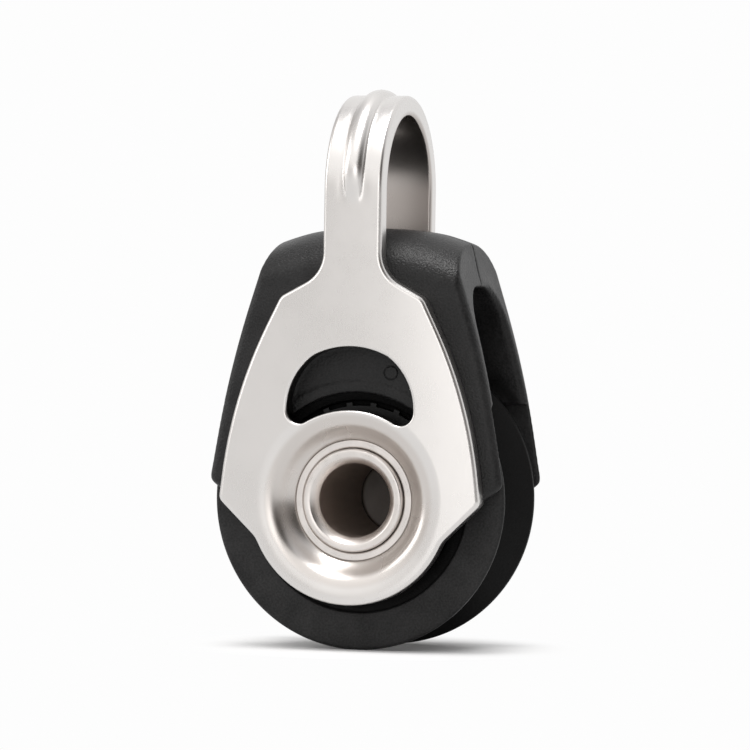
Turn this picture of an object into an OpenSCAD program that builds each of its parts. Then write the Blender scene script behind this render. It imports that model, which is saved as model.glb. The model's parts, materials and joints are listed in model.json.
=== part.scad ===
// Single pulley block for a small boat: a ball-bearing sheave between two moulded
// cheeks, hung from a one-piece metal strap whose bend makes the head eye. Its hollow axle
// opens to the front.
// Origin: centre of the hub. Y runs along the axle, Z points to the head eye.

/* [Sheave] */
// Outer diameter of the sheave
sheave_d = 30; // [29:0.5:31]
// Width of the sheave over its flanges
sheave_w = 12.1; // [11.5:0.1:13]
// Thickness of the sheave between its ball seats and the floor of the line groove
groove_core = 1.52; // [1.4:0.02:1.7]
// Flat width of the groove floor
groove_floor_w = 4.6; // [4:0.1:5.2]
// Thickness of each flange at its rim
rim_land = 0.85; // [0.7:0.05:1.2]
// Rounding of the flange rims
rim_round = 0.35; // [0.2:0.05:0.4]
// Width of the shallow recess in each side, around the ball cage
recess_w = 1.32; // [1.2:0.02:1.6]
// Depth of the recess below the flange face
recess_depth = 0.45; // [0.3:0.05:0.55]
// Gap between a flange and the cheek beside it
sheave_side_gap = 0.3; // [0.25:0.05:0.5]
// Room in the cheeks around the sheave rim
sheave_rim_gap = 1.2; // [0.8:0.1:1.5]

/* [Bearing] */
// Diameter of a ball
ball_d = 3; // [2.8:0.1:3.1]
// Wall of the inner race between the axle and the balls
race_wall = 1.62; // [1.5:0.02:1.7]
// Distance between the two rows of balls
row_spacing = 6.2; // [6:0.1:6.4]
// Running clearance of a ball in its races
ball_play = 0.03; // [0.02:0.01:0.05]
// Depth of the ball track in each race
track_depth = 0.5; // [0.4:0.05:0.55]
// Clearance of a ball in its cage pocket
pocket_play = 0.08; // [0.06:0.01:0.12]
// Gap between a cage and the race beside it
cage_gap = 0.25; // [0.2:0.05:0.3]
// Thickness of the cage past the balls' outer sides
cage_cover = 0.4; // [0.3:0.05:0.5]
// How far the cage reaches in past the ball centres
cage_reach = 1.2; // [1:0.1:1.3]
// Gap between the cage's flange and the sheave's step
cage_side_gap = 0.15; // [0.1:0.05:0.2]
// Thickness of the cage's outer flange
cage_flange_t = 0.5; // [0.4:0.05:0.55]
// Height of the small teeth on the cage's flange
cage_tooth_h = 0.35; // [0.2:0.05:0.4]
// Width of a cage tooth
cage_tooth_w = 0.6; // [0.4:0.1:0.9]
// Number of teeth on each cage
cage_teeth = 24; // [12:6:24]

/* [Hub] */
// Bore of the hollow axle
bore_d = 7.34; // [7:0.02:7.6]
// Outer diameter of the hollow axle
axle_d = 10.3; // [10.1:0.05:10.4]
// How far the axle stands out of each hub ring
axle_stand_out = 0.5; // [0.3:0.1:0.8]
// Depth of the countersink at the bore's mouth
countersink = 0.95; // [0.6:0.05:1.1]
// Thickness of the axle's closed back end
axle_floor = 0.95; // [0.8:0.05:1.2]
// Width of the turning mark in that end
centre_mark_d = 1.2; // [0.8:0.1:1.6]
// Depth of the turning mark
centre_mark_depth = 0.35; // [0.2:0.05:0.4]
// Width of the flat left at the axle's mouth
axle_end_land = 0.45; // [0.3:0.05:0.6]
// Rounding of the axle's outer edge
axle_round = 0.3; // [0.2:0.05:0.4]
// Wall of the hub rings
hub_ring_wall = 0.82; // [0.7:0.02:1]
// Clearance of the hub rings and the race on the axle
axle_fit = 0.05; // [0.03:0.01:0.1]
// Clearance of a hub ring in the strap
ring_fit = 0.03; // [0.02:0.01:0.05]

/* [Strap] */
// Thickness of the strap
strap_t = 2; // [1.8:0.05:2.1]
// Width of the strap at the neck and the eye
neck_w = 6.04; // [5.6:0.1:6.6]
// Height of the centre of the eye's bend
eye_z = 30.8; // [30:0.2:32]
// Height where the slope of the shoulder meets the neck
shoulder_neck_z = 22.56; // [22.2:0.1:23]
// Half width of a side plate at its shoulder
shoulder_x = 7.41; // [7:0.1:7.8]
// Height of the shoulder corner
shoulder_z = 20.19; // [19.9:0.1:20.5]
// Half width of a side plate at the turn of its side
side_x = 12.42; // [12.2:0.1:12.7]
// Height of the turn of its side
side_z = 10.06; // [9.8:0.1:10.4]
// Half width of a side plate at its widest corner
wide_x = 13.53; // [13.4:0.05:13.7]
// Height of the widest corner
wide_z = -0.12; // [-0.3:0.05:0.1]
// Width of the flat band around the dish at a side plate's round lower end
lobe_band = 1.9; // [1.7:0.1:2.1]
// Radius between that end and the slope above it
lobe_fillet = 3; // [2:0.5:3.5]
// Radius between neck and shoulder
neck_fillet = 3.45; // [3:0.1:3.8]
// Radius at the shoulder
shoulder_round = 1.5; // [1.2:0.1:1.8]
// Radius of the long curve of the side
side_round = 46; // [40:1:46]
// Radius at the widest corner
wide_round = 1; // [0.7:0.1:1.2]
// Width of the raised bead over the eye
bead_w = 2.1; // [1.8:0.1:2.4]
// Height of the raised bead
bead_h = 0.6; // [0.4:0.05:0.7]
// Height where the bead has faded out on each leg
bead_end_z = 29; // [28.6:0.1:29.6]
// Width of the dish's wall, from the hub ring out to the flat of the plate
dish_wall = 2.45; // [2.2:0.05:2.7]
// Depth of the dish
dish_depth = 2; // [1.8:0.05:2.1]
// How much smaller the dish's radius is at the inner face
dish_bend = 0.6; // [0.4:0.1:0.8]

/* [Window] */
// Width of the ledge between the dish and the window
window_ledge = 0.5; // [0.4:0.05:0.7]
// Height of the window's top
window_top_z = 15.42; // [15.2:0.05:15.6]
// Half width of the window
window_x = 6.5; // [6.4:0.05:6.6]
// Radius of the window's two lower ends
window_end_r = 1.3; // [1.1:0.1:1.4]
// Radius of the window's upper edge
window_top_r = 8.05; // [7.6:0.05:8.5]

/* [Cheeks] */
// Thickness of a cheek
cheek_wall = 1.35; // [1.2:0.05:1.5]
// Height of the crown over the hub
crown_z = 27.15; // [26.9:0.05:27.5]
// Radius of the crown
crown_r = 40; // [34:1:46]
// Half width where crown and side meet
cheek_top_x = 9.12; // [9:0.02:9.3]
// Height where crown and side meet
cheek_top_z = 26.1; // [26:0.02:26.2]
// Half width at the turn of the side
cheek_side_x = 13.42; // [13.3:0.02:13.6]
// Height of the turn of the side
cheek_side_z = 13.08; // [12.8:0.1:13.4]
// Half width at the lower corner
cheek_low_x = 15.36; // [15.3:0.02:15.5]
// Height of the lower corner
cheek_low_z = 1.61; // [1.5:0.05:1.8]
// Radius at the crown's shoulders
cheek_top_round = 3.2; // [2.6:0.1:3.8]
// Radius at the lower corners
cheek_low_round = 1; // [0.8:0.1:1.2]
// Slope of the lower edge towards the hub, in degrees
cheek_low_slope = 34; // [32:1:40]
// How far the crown rolls down to the outer face
roll_drop = 4.4; // [3.8:0.1:4.6]
// How far in from the outer face the roll starts
roll_depth = 7.2; // [5.6:0.1:7.4]
// Radius of the rolled edge seen along the axle
roll_r = 27; // [25:0.5:29]
// How far above the crown that edge starts
roll_lift = 0.3; // [0.2:0.05:0.4]
// Rounding of the outer face's sides
edge_round = 0.95; // [0.7:0.05:1]
// How far the opening around the hub clears the plate's round lower end
cheek_hole_margin = 0.3; // [0.1:0.05:0.4]
// Height of the top of the line slot
slot_top_z = 21.6; // [21:0.1:22]
// How far each side of the line slot closes in towards its top
slot_taper = 0.85; // [0.6:0.05:1]
// Step in each side where the slot opens out for the sheave
slot_step = 0.3; // [0.2:0.05:0.5]
// Height where the slot opens out for the sheave
slot_low_z = 9.6; // [9.2:0.1:10]
// Rounding of the slot's upper corners
slot_round = 3.5; // [3:0.1:4]
// Relief inside each cheek's rim below that height
rim_relief = 0.55; // [0.4:0.05:0.6]
// How far that relief starts inside the sheave's rim
relief_reach = 0.6; // [0.4:0.1:0.8]
// Depth of the pocket behind the window
pocket_depth = 0.8; // [0.6:0.05:0.85]
// Margin of the pocket around the window
pocket_margin = 0.5; // [0.4:0.05:0.7]
// Width of the raised lip around the hub opening
lip_w = 1.1; // [0.9:0.1:1.3]
// Height of that lip above the pocket's floor
lip_h = 0.15; // [0.1:0.05:0.2]
// Diameter of the moulding mark in the pocket
mark_d = 1.5; // [1.2:0.1:1.8]
// Width of the mark's groove
mark_line = 0.12; // [0.1:0.02:0.2]
// Place of the mark across the cheek
mark_x = 3.45; // [3.2:0.05:3.7]
// Height of the mark above the hub
mark_z = 12.75; // [12.5:0.05:13]
// Diameter of the pegs that join the two cheeks
crown_peg_d = 2.2; // [1.8:0.1:2.4]
// Length of those pegs
crown_peg_l = 2.5; // [2:0.1:3]
// Distance between those pegs
crown_peg_span = 9; // [8.4:0.2:9.6]
// Diameter of the pegs that hold the strap
strap_peg_d = 2; // [1.6:0.1:2.2]
// Height of those pegs
strap_peg_h = 0.9; // [0.7:0.05:1]
// Distance between those pegs
strap_peg_span = 10.6; // [10:0.2:11.2]
// Height of those pegs above the hub
strap_peg_z = 18; // [17.8:0.1:18.4]
// Clearance of a peg in its socket
peg_fit = 0.05; // [0.03:0.01:0.08]

/* [Hidden] */
BALLS = 12;
$fn = 96;
eps = 0.01;
beyond = 40;
steel = [0.78, 0.77, 0.75];
bright_steel = [0.88, 0.87, 0.85];
black_plastic = [0.12, 0.12, 0.13];
sheave_black = [0.09, 0.09, 0.10];
cage_grey = [0.30, 0.30, 0.31];
ball_white = [0.93, 0.93, 0.90];

// Faces along the axle, from the middle outwards
flange_y = sheave_w / 2;
recess_y = flange_y - recess_depth;
cheek_in_y = flange_y + sheave_side_gap;
plate_in_y = cheek_in_y + cheek_wall;
plate_out_y = plate_in_y + strap_t;
ring_out_y = plate_out_y - dish_depth;
ring_in_y = plate_in_y - dish_depth;
axle_end_y = ring_out_y + axle_stand_out;

// Radii from the axle outwards
sheave_r = sheave_d / 2;
bore_r = bore_d / 2;
axle_r = axle_d / 2;
hub_hole_r = axle_r + axle_fit;
ring_r = hub_hole_r + hub_ring_wall;
strap_hole_r = ring_r + ring_fit;
ball_r = ball_d / 2;
row_y = row_spacing / 2;
track_r = ball_r + ball_play;
race_land_r = hub_hole_r + race_wall;
pitch_r = race_land_r - track_depth + track_r;
sheave_land_r = pitch_r + track_r - track_depth;
sheave_seat_r = pitch_r + track_r;
cage_in_r = race_land_r + cage_gap;
cage_out_r = sheave_land_r - cage_gap;
cage_body_y = row_y + ball_r + cage_cover;
cage_flange_y = cage_body_y + cage_flange_t;
cage_inner_y = row_y - cage_reach;
cage_flange_r = sheave_seat_r;
seat_end_y = cage_body_y - cage_side_gap;
tooth_tip_r = cage_flange_r + cage_tooth_h;
counterbore_r = tooth_tip_r + cage_gap;
recess_r = counterbore_r + recess_w;
groove_floor_r = sheave_seat_r + groove_core;
dish_r = strap_hole_r + dish_wall;
lobe_r = dish_r + lobe_band;
window_floor_r = dish_r + window_ledge;
cheek_hole_r = lobe_r + cheek_hole_margin;
lip_r = cheek_hole_r + lip_w;
slot_low_y = cheek_in_y - slot_step;
slot_top_y = slot_low_y - slot_taper;

function ball_name(side, i) = str(side, i < 10 ? "_ball_0" : "_ball_", i);

// Outlines: corner points [across, up, radius], rounded by tangent arcs
function unit(v) = v / norm(v);
function xy(p) = [p[0], p[1]];
function arc_at(c, r, a0, sweep, n) =
    [for (i = [0 : n]) c + r * [cos(a0 + sweep * i / n), sin(a0 + sweep * i / n)]];
function fillet(a, p, b, r, n) =
    let (u = unit(a - p), v = unit(b - p), half = acos(u * v) / 2,
         c = p + unit(u + v) * r / sin(half),
         s = p + u * r / tan(half) - c, e = p + v * r / tan(half) - c,
         a0 = atan2(s[1], s[0]), turn = atan2(e[1], e[0]) - a0,
         sweep = (turn + 540) % 360 - 180)
    arc_at(c, r, a0, sweep, n);
function rounded(pts, n) = let (m = len(pts))
    [for (i = [0 : m - 1]) let (p = pts[i])
        each p[2] == 0 ? [xy(p)]
            : fillet(xy(pts[(i + m - 1) % m]), xy(p), xy(pts[(i + 1) % m]), p[2], n)];
// Share of a quarter round's drop left at t of its depth from the face
function quarter(t) = t >= 1 ? 0 : 1 - sqrt(1 - pow(1 - t, 2));
function mirrored(half) =
    concat(half, [for (i = [len(half) - 1 : -1 : 0]) [-half[i][0], half[i][1], half[i][2]]]);

cheek_tip_x = cheek_hole_r * 0.88;
plate_corners = [
    [neck_w / 2, eye_z, 0],
    [neck_w / 2, shoulder_neck_z, neck_fillet],
    [shoulder_x, shoulder_z, shoulder_round],
    [side_x, side_z, side_round],
    [wide_x, wide_z, wide_round],
    [lobe_r * 0.85, -lobe_r * 0.45, 0]];
// Where the crown's tangents at both shoulders would meet
crown_ridge_z = cheek_top_z + pow(cheek_top_x, 2) / sqrt(pow(crown_r, 2) - pow(cheek_top_x, 2));
cheek_corners = [
    [cheek_top_x, cheek_top_z, cheek_top_round],
    [cheek_side_x, cheek_side_z, 100],
    [cheek_low_x, cheek_low_z, cheek_low_round],
    [cheek_tip_x, cheek_low_z - (cheek_low_x - cheek_tip_x) * tan(cheek_low_slope), 0]];

// Lays a flat (across, up) shape into the X-Z plane, from depth y0 out to y1,
// on the front (side = -1) or the back (side = 1)
module slab(side, y0, y1) {
    translate([0, side > 0 ? y1 : -y0, 0])
        rotate([90, 0, 0])
            linear_extrude(y1 - y0) children();
}

// A round body about the axle from an outline of (radius, place along the axle)
module turned() {
    rotate([-90, 0, 0]) rotate_extrude() children();
}

module axle_cylinder(r, y0, y1) {
    translate([0, y0, 0]) rotate([-90, 0, 0]) cylinder(r = r, h = y1 - y0);
}

// Turns a front piece into the back one
module on_side(side) {
    if (side < 0) children();
    else mirror([0, 1, 0]) children();
}

// Kidney window between the hub and the neck, grown by a margin
module window_shape(grow = 0) {
    side_r = window_x + grow;
    side_z0 = window_floor_r + 0.05;
    floor_r = window_floor_r - grow;
    end_r = window_end_r + grow;
    top_z0 = window_top_z - window_top_r;
    end_c_r = window_floor_r + window_end_r;
    side_c_r = window_x - window_end_r;
    end_z = (pow(end_c_r, 2) + pow(side_z0, 2) - pow(side_c_r, 2)) / (2 * side_z0);
    end_x = sqrt(pow(end_c_r, 2) - pow(end_z, 2));
    difference() {
        intersection() {
            translate([0, side_z0]) circle(side_r);
            translate([0, top_z0]) circle(window_top_r + grow);
        }
        circle(floor_r);
        for (s = [-1, 1])
            polygon([
                [s * end_x * floor_r / end_c_r, end_z * floor_r / end_c_r],
                [s * end_x * side_r / side_c_r,
                 side_z0 + (end_z - side_z0) * side_r / side_c_r],
                [s * (window_x + 3), 0],
                [s * end_x * 0.8, 0]]);
    }
    for (s = [-1, 1])
        translate([s * end_x, end_z]) circle(end_r);
}

// Fills the corner between a side plate's slope and its round lower end
module lobe_corner() {
    wide = xy(plate_corners[4]);
    along = unit(xy(plate_corners[5]) - wide);
    out = [-along[1], along[0]];
    centre_out = wide * out + lobe_fillet;
    centre = out * centre_out - along * sqrt(pow(lobe_r + lobe_fillet, 2) - pow(centre_out, 2));
    difference() {
        polygon([centre - out * lobe_fillet, centre * lobe_r / (lobe_r + lobe_fillet),
                 centre * 0.7]);
        translate(centre) circle(lobe_fillet);
    }
}

module side_plate_front() {
    dish_back_r = dish_r - dish_bend;
    difference() {
        union() {
            difference() {
                slab(-1, plate_in_y, plate_out_y)
                    union() {
                        polygon(rounded(mirrored(plate_corners), 6));
                        circle(lobe_r);
                        lobe_corner();
                        mirror([1, 0]) lobe_corner();
                    }
                slab(-1, plate_in_y - eps, plate_out_y + eps) window_shape();
                axle_cylinder(dish_r, -plate_out_y - eps, -plate_in_y + eps);
            }
            turned() polygon([
                [dish_r + eps, plate_in_y],
                [dish_r + eps, plate_out_y],
                [dish_r, plate_out_y],
                [strap_hole_r, ring_out_y],
                [strap_hole_r, ring_in_y],
                [dish_back_r, plate_in_y]]);
        }
        strap_pegs(peg_fit);
    }
}

module eye_bend() {
    bead_r = (pow(bead_w / 2, 2) + pow(bead_h, 2)) / (2 * bead_h);
    bead_c = plate_out_y + bead_h - bead_r;
    translate([0, 0, eye_z])
        rotate([0, 90, 0]) rotate([0, 0, 90])
            intersection() {
                rotate_extrude() {
                    translate([plate_in_y, -neck_w / 2]) square([strap_t, neck_w]);
                    intersection() {
                        translate([bead_c, 0]) circle(bead_r);
                        translate([plate_out_y - 0.2, -bead_w]) square([bead_h + 1, bead_w * 2]);
                    }
                }
                translate([-beyond / 2, 0, -beyond / 2]) cube(beyond);
            }
}

// The bead's run-out on the front leg, cut to nothing by a sloping plane
module bead_leg() {
    bead_r = (pow(bead_w / 2, 2) + pow(bead_h, 2)) / (2 * bead_h);
    bead_c = plate_out_y + bead_h - bead_r;
    run = eye_z - bead_end_z;
    intersection() {
        translate([0, -bead_c, bead_end_z - 1]) cylinder(r = bead_r, h = run + 1);
        rotate([90, 0, 90])
            translate([0, 0, -bead_w])
                linear_extrude(bead_w * 2)
                    polygon([
                        [-plate_out_y + 0.2, bead_end_z],
                        [-plate_out_y, bead_end_z],
                        [-plate_out_y - bead_h - 0.3, eye_z],
                        [-plate_out_y + 0.2, eye_z]]);
    }
}

module head_strap() {
    color(steel)
        union() {
            for (side = [-1, 1])
                on_side(side) {
                    side_plate_front();
                    bead_leg();
                }
            eye_bend();
        }
}

module strap_pegs(grow = 0) {
    for (s = [-1, 1])
        translate([s * strap_peg_span / 2, 0, strap_peg_z])
            axle_cylinder(strap_peg_d / 2 + grow,
                -plate_in_y - strap_peg_h - grow * 2, -plate_in_y + (grow > 0 ? eps : 0.3));
}

module crown_pegs(side, grow = 0) {
    for (s = [-1, 1])
        translate([s * crown_peg_span / 2, 0, (slot_top_z + crown_z) / 2 - 0.2])
            axle_cylinder(crown_peg_d / 2 + grow, side < 0 ? -0.3 : -eps, crown_peg_l + grow * 2);
}

module cheek_outline() {
    intersection() {
        polygon(rounded(mirrored(concat([[0.01, crown_ridge_z, 0]], cheek_corners)), 5));
        translate([0, crown_z - crown_r]) circle(crown_r, $fn = 180);
    }
}

// Outer form of a cheek: its outline with rounded sides towards the outer face, and
// its crown rolled down to that face
module cheek_form() {
    hull()
        for (d = [for (k = [1, 0.7, 0.45, 0.27]) k * roll_depth,
                  edge_round, edge_round / 2, edge_round / 7, 0])
            slab(-1, d == roll_depth ? 0 : plate_in_y - d - 0.02, plate_in_y - d)
                intersection() {
                    offset(delta = -edge_round * quarter(d / edge_round)) cheek_outline();
                    translate([0, crown_z + roll_lift - roll_drop * quarter(d / roll_depth) - roll_r])
                        circle(roll_r, $fn = 120);
                }
}

module line_slot() {
    translate([-beyond / 2, 0, 0])
        rotate([90, 0, 90])
            linear_extrude(beyond)
                polygon(rounded(mirrored([
                    [slot_top_y, slot_top_z, slot_round],
                    [slot_low_y, slot_low_z, 0],
                    [cheek_in_y, slot_low_z, 0],
                    [cheek_in_y, -beyond, 0]]), 5));
}

// Thins the rim of a cheek beside the sheave, from the slot's step down
module rim_recess() {
    slab(-1, cheek_in_y - 1, cheek_in_y + rim_relief)
        difference() {
            translate([-beyond, slot_low_z - beyond]) square([2 * beyond, beyond]);
            circle(sheave_r - relief_reach);
        }
}

module cheek_front(side) {
    difference() {
        union() {
            difference() {
                cheek_form();
                line_slot();
                axle_cylinder(sheave_r + sheave_rim_gap, -cheek_in_y, 1);
                rim_recess();
                slab(-1, plate_in_y - pocket_depth, plate_in_y + 1) window_shape(pocket_margin);
                axle_cylinder(lip_r, -plate_in_y - 1, -plate_in_y + pocket_depth - lip_h);
            }
            strap_pegs();
        }
        axle_cylinder(cheek_hole_r, -plate_in_y - 1, 1);
        translate([mark_x, 0, mark_z])
            difference() {
                axle_cylinder(mark_d / 2, -plate_in_y, -plate_in_y + pocket_depth + 0.1);
                axle_cylinder(mark_d / 2 - mark_line, -plate_in_y - 1, -plate_in_y + pocket_depth + 1);
            }
    }
}

module front_cheek() {
    color(black_plastic) {
        cheek_front();
        crown_pegs(-1);
    }
}

module back_cheek() {
    color(black_plastic)
        difference() {
            mirror([0, 1, 0]) cheek_front();
            crown_pegs(1, peg_fit);
        }
}

module sheave() {
    mouth_y = flange_y - rim_land;
    floor_y = groove_floor_w / 2;
    track = [for (i = [0 : 6]) let (a = 90 - 90 * i / 6 * acos(1 - track_depth / track_r) / 90)
        [pitch_r + track_r * sin(a), row_y - track_r * cos(a)]];
    half = concat(
        [[sheave_land_r, 0]],
        [for (i = [len(track) - 1 : -1 : 0]) track[i]],
        [[sheave_seat_r, seat_end_y],
         [counterbore_r, seat_end_y],
         [counterbore_r, recess_y],
         [recess_r, recess_y],
         [recess_r, flange_y]],
        arc_at([sheave_r - rim_round, flange_y - rim_round], rim_round, 90, -90, 4),
        [[sheave_r, mouth_y + 0.15],
         [sheave_r - 0.15, mouth_y],
         [groove_floor_r + 1.1, floor_y + 1.35],
         [groove_floor_r + 0.3, floor_y + 0.55],
         [groove_floor_r, floor_y]]);
    color(sheave_black)
        turned()
            polygon(concat(half, [for (i = [len(half) - 1 : -1 : 1]) [half[i][0], -half[i][1]]]));
}

module hub_tube() {
    mouth_r = axle_r - axle_round - axle_end_land;
    color(bright_steel)
        turned()
            polygon(concat(
                [[bore_r, -axle_end_y + countersink], [mouth_r, -axle_end_y]],
                arc_at([axle_r - axle_round, -axle_end_y + axle_round], axle_round, -90, 90, 3),
                arc_at([axle_r - axle_round, axle_end_y - axle_round], axle_round, 0, 90, 3),
                [[centre_mark_d / 2, axle_end_y],
                 [0, axle_end_y - centre_mark_depth],
                 [0, axle_end_y - axle_floor],
                 [bore_r, axle_end_y - axle_floor]]));
}

module hub_ring(side) {
    color(bright_steel)
        on_side(side)
            difference() {
                axle_cylinder(ring_r, -ring_out_y, -ring_in_y);
                axle_cylinder(hub_hole_r, -ring_out_y - 1, -ring_in_y + 1);
            }
}

// Bush on the axle with a round track for each row of balls
module inner_race() {
    color(steel)
        difference() {
            axle_cylinder(race_land_r, -ring_in_y, ring_in_y);
            axle_cylinder(hub_hole_r, -ring_in_y - 1, ring_in_y + 1);
            for (side = [-1, 1])
                turned() translate([pitch_r, side * row_y]) circle(track_r);
        }
}

// A cage before its pockets are cut, on the front
module cage_blank() {
    difference() {
        union() {
            axle_cylinder(cage_out_r, -cage_body_y, -cage_inner_y);
            axle_cylinder(cage_flange_r, -cage_flange_y, -cage_body_y);
            for (i = [0 : cage_teeth - 1])
                rotate([0, 360 / cage_teeth * (i + 0.5), 0])
                    translate([cage_flange_r - 0.3, -cage_flange_y, -cage_tooth_w / 2])
                        cube([cage_tooth_h + 0.3, cage_flange_t, cage_tooth_w]);
        }
        axle_cylinder(cage_in_r, -cage_flange_y - 1, -cage_inner_y + 1);
    }
}

module ball_cage(side) {
    color(cage_grey)
        difference() {
            on_side(side) cage_blank();
            for (i = [0 : BALLS - 1])
                ball_place(side, i)
                    axle_cylinder(ball_r + pocket_play, -ball_r - 0.3, ball_r + pocket_play);
        }
}

// Puts a piece at a ball's centre, with its +Y away from the middle of the block
module ball_place(side, i) {
    rotate([0, -360 / BALLS * i - (side > 0 ? 180 / BALLS : 0), 0])
        translate([pitch_r, side * row_y, 0])
            on_side(-side) children();
}

module ball(side, i) {
    color(ball_white)
        ball_place(side, i) sphere(ball_r);
}

head_strap();
front_cheek();
back_cheek();
sheave();
hub_tube();
hub_ring(-1);  // front_hub_ring
hub_ring(1);  // back_hub_ring
inner_race();
ball_cage(-1);  // front_ball_cage
ball_cage(1);  // back_ball_cage
for (i = [1 : BALLS]) {
    ball(-1, i - 1);
    ball(1, i - 1);
}
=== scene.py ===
"""Looks of a small pulley block: satin metal strap, black moulded cheeks and sheave,
turned hollow axle, and the studio that it stands in."""
import json
import math

import bmesh
import bpy
from bpy.props import FloatProperty, FloatVectorProperty, PointerProperty
from bpy.types import Operator, Panel, PropertyGroup
from mathutils import Matrix, Vector, geometry


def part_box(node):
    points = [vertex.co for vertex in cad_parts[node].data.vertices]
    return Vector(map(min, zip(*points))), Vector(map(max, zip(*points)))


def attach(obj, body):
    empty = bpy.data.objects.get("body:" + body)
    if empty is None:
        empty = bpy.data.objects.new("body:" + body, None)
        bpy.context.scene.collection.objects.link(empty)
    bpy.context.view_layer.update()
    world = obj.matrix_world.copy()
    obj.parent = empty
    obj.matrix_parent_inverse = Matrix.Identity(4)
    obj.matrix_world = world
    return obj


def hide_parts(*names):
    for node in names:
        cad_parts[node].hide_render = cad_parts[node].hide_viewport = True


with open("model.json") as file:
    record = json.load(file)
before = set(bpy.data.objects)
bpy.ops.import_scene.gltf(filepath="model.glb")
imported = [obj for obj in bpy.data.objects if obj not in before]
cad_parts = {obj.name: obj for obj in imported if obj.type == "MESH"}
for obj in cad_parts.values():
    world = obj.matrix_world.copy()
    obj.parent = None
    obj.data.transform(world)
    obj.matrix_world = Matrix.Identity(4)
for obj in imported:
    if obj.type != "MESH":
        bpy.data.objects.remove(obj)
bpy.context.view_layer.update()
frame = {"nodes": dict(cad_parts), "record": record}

bl_info = {
    "name": "Pulley Block",
    "version": (1, 0, 0),
    "blender": (4, 5, 0),
    "location": "View3D > Sidebar > Pulley Block",
    "description": "Builds the looks of a small ball-bearing pulley block and its studio",
    "category": "Object",
}

MM = 0.001
TURN = 2 * math.pi
# Straight run past a rounded edge, so that the flat beside it shades flat
SUPPORT = 0.03 * MM
# A lathed point nearer to the axis than this lies on it
ON_AXIS = 1e-6
# Marks the points in the grooves beside the strap's bead
IN_GROOVE = -1
# Width of the camera's sensor, in millimetres
SENSOR_WIDTH = 36
# A Mix node's sockets for its two colours
COLOUR_A, COLOUR_B = 6, 7

# Corners of the pieces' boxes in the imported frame
STRAP_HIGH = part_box("head_strap")[1]
RING_LOW, RING_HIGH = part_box("front_hub_ring")
TUBE_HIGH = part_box("hub_tube")[1]
SHEAVE_LOW, SHEAVE_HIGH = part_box("sheave")
CHEEK_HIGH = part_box("back_cheek")[1]
CAGE_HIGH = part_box("back_ball_cage")[1]
FLOOR_Z = SHEAVE_LOW[2]

# Room beside the sheave, and the cheeks' inner faces, from the middle of the block
SIDE_GAP = 0.3 * MM
CHEEK_INNER = SHEAVE_HIGH[1] + SIDE_GAP

# Height of the line slot's upper end
SLOT_TOP = 21.3 * MM

# The sheave's groove from its side down to its floor: up from the floor and out from its edge,
# in millimetres
GROOVE_CORNER = ((1.1, 1.35), (0.6, 0.95), (0.3, 0.55), (0.08, 0.2), (0, 0), (0, -0.1))

# Half length of a cutter that reaches past the cheeks
PAST_CHEEK = 22 * MM

# Foot of the neck: up and rounding, in millimetres
NECK_FOOT = (22.56, 3.45)
# Corners of a side plate from there down: across, up and rounding, in millimetres
PLATE_CORNERS = ((7.41, 20.19, 1.5), (12.42, 10.06, 46), (13.53, -0.12, 1))

# Corners of a cheek from the crown down, in the same way
CHEEK_CORNERS = ((9.58, 26.03, 1.1), (10.4, 22.6, 12), (13.42, 13.08, 100), (15.36, 1.61, 1))
# Slope of a cheek's lower edge, in degrees
CHEEK_TIP_SLOPE = 34

# The kidney window: radius of its floor about the axle, of its ends, of its sides and of its
# top, and the heights of the sides' centre and of the top
WINDOW_FLOOR = 9.0 * MM
WINDOW_END = 1.3 * MM
WINDOW_HALF = 6.54 * MM
WINDOW_SIDE_Z = 9.05 * MM
WINDOW_TOP_RADIUS = 8.3 * MM
WINDOW_TOP_Z = 15.28 * MM
# Margin of the pocket around the window
POCKET_MARGIN = 0.5 * MM

# Pale and dark areas of the room before the block: azimuth and elevation, the angles within
# which an area is full and beyond which it is gone, in degrees, and its colour
ROOM_AREAS = (
    (0, 90, 25, 70, (0.70, 0.70, 0.71)),
    (-62, 2, 42, 75, (0.80, 0.78, 0.765)),
    (48, 26, 6, 27, (0.05, 0.044, 0.038)),
    (-14, 42, 20, 38, (1.25, 1.24, 1.23)),
    (7, 5, 8, 18, (2.3, 2.27, 2.24)),
)
# The white backdrop as reflections see it, in the same way
BACKDROP = (160, 0, 58, 82)


def length(name, default, text):
    """A size in metres that the user can change."""
    return FloatProperty(name=name, description=text, default=default, unit="LENGTH", precision=5)


def colour(name, default, text):
    """A linear colour that the user can change."""
    return FloatVectorProperty(name=name, description=text, default=default, size=3,
                               subtype="COLOR", min=0, max=1)


def share(name, default, text):
    """A plain number that the user can change."""
    return FloatProperty(name=name, description=text, default=default)


def angle(name, degrees, text):
    """An angle that the user can change."""
    return FloatProperty(name=name, description=text, default=math.radians(degrees),
                         unit="ROTATION")


class StrapSizes(PropertyGroup):
    """Sizes of the metal strap."""

    thickness: length("Thickness", 2 * MM, "Thickness of the strap")
    neck: length("Neck", 6.04 * MM, "Width of the neck and of the eye")
    bead_height: length("Bead height", 0.6 * MM, "Height of the bead over the eye")
    bead_width: length("Bead width", 2.1 * MM, "Width of the bead over the eye")
    bead_foot: length("Bead foot", 29.4 * MM, "Height where the bead has faded out")
    bead_full: length("Bead full", 33.6 * MM, "Height where the bead has its full height")
    eye: length("Eye", 30.8 * MM, "Height of the centre of the eye's bend")
    outer_edge: length("Outer edge", 0.42 * MM, "Rounding of the outer edges")
    inner_edge: length("Inner edge", 0.3 * MM, "Rounding of the inner edges")
    window_edge: length("Window edge", 0.3 * MM, "Rounding of the window's rim")
    dish: length("Dish", 8.62 * MM, "Radius where the dish starts to sink")
    lobe: length("Lobe", 10.4 * MM, "Radius of the round lower end")


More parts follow.
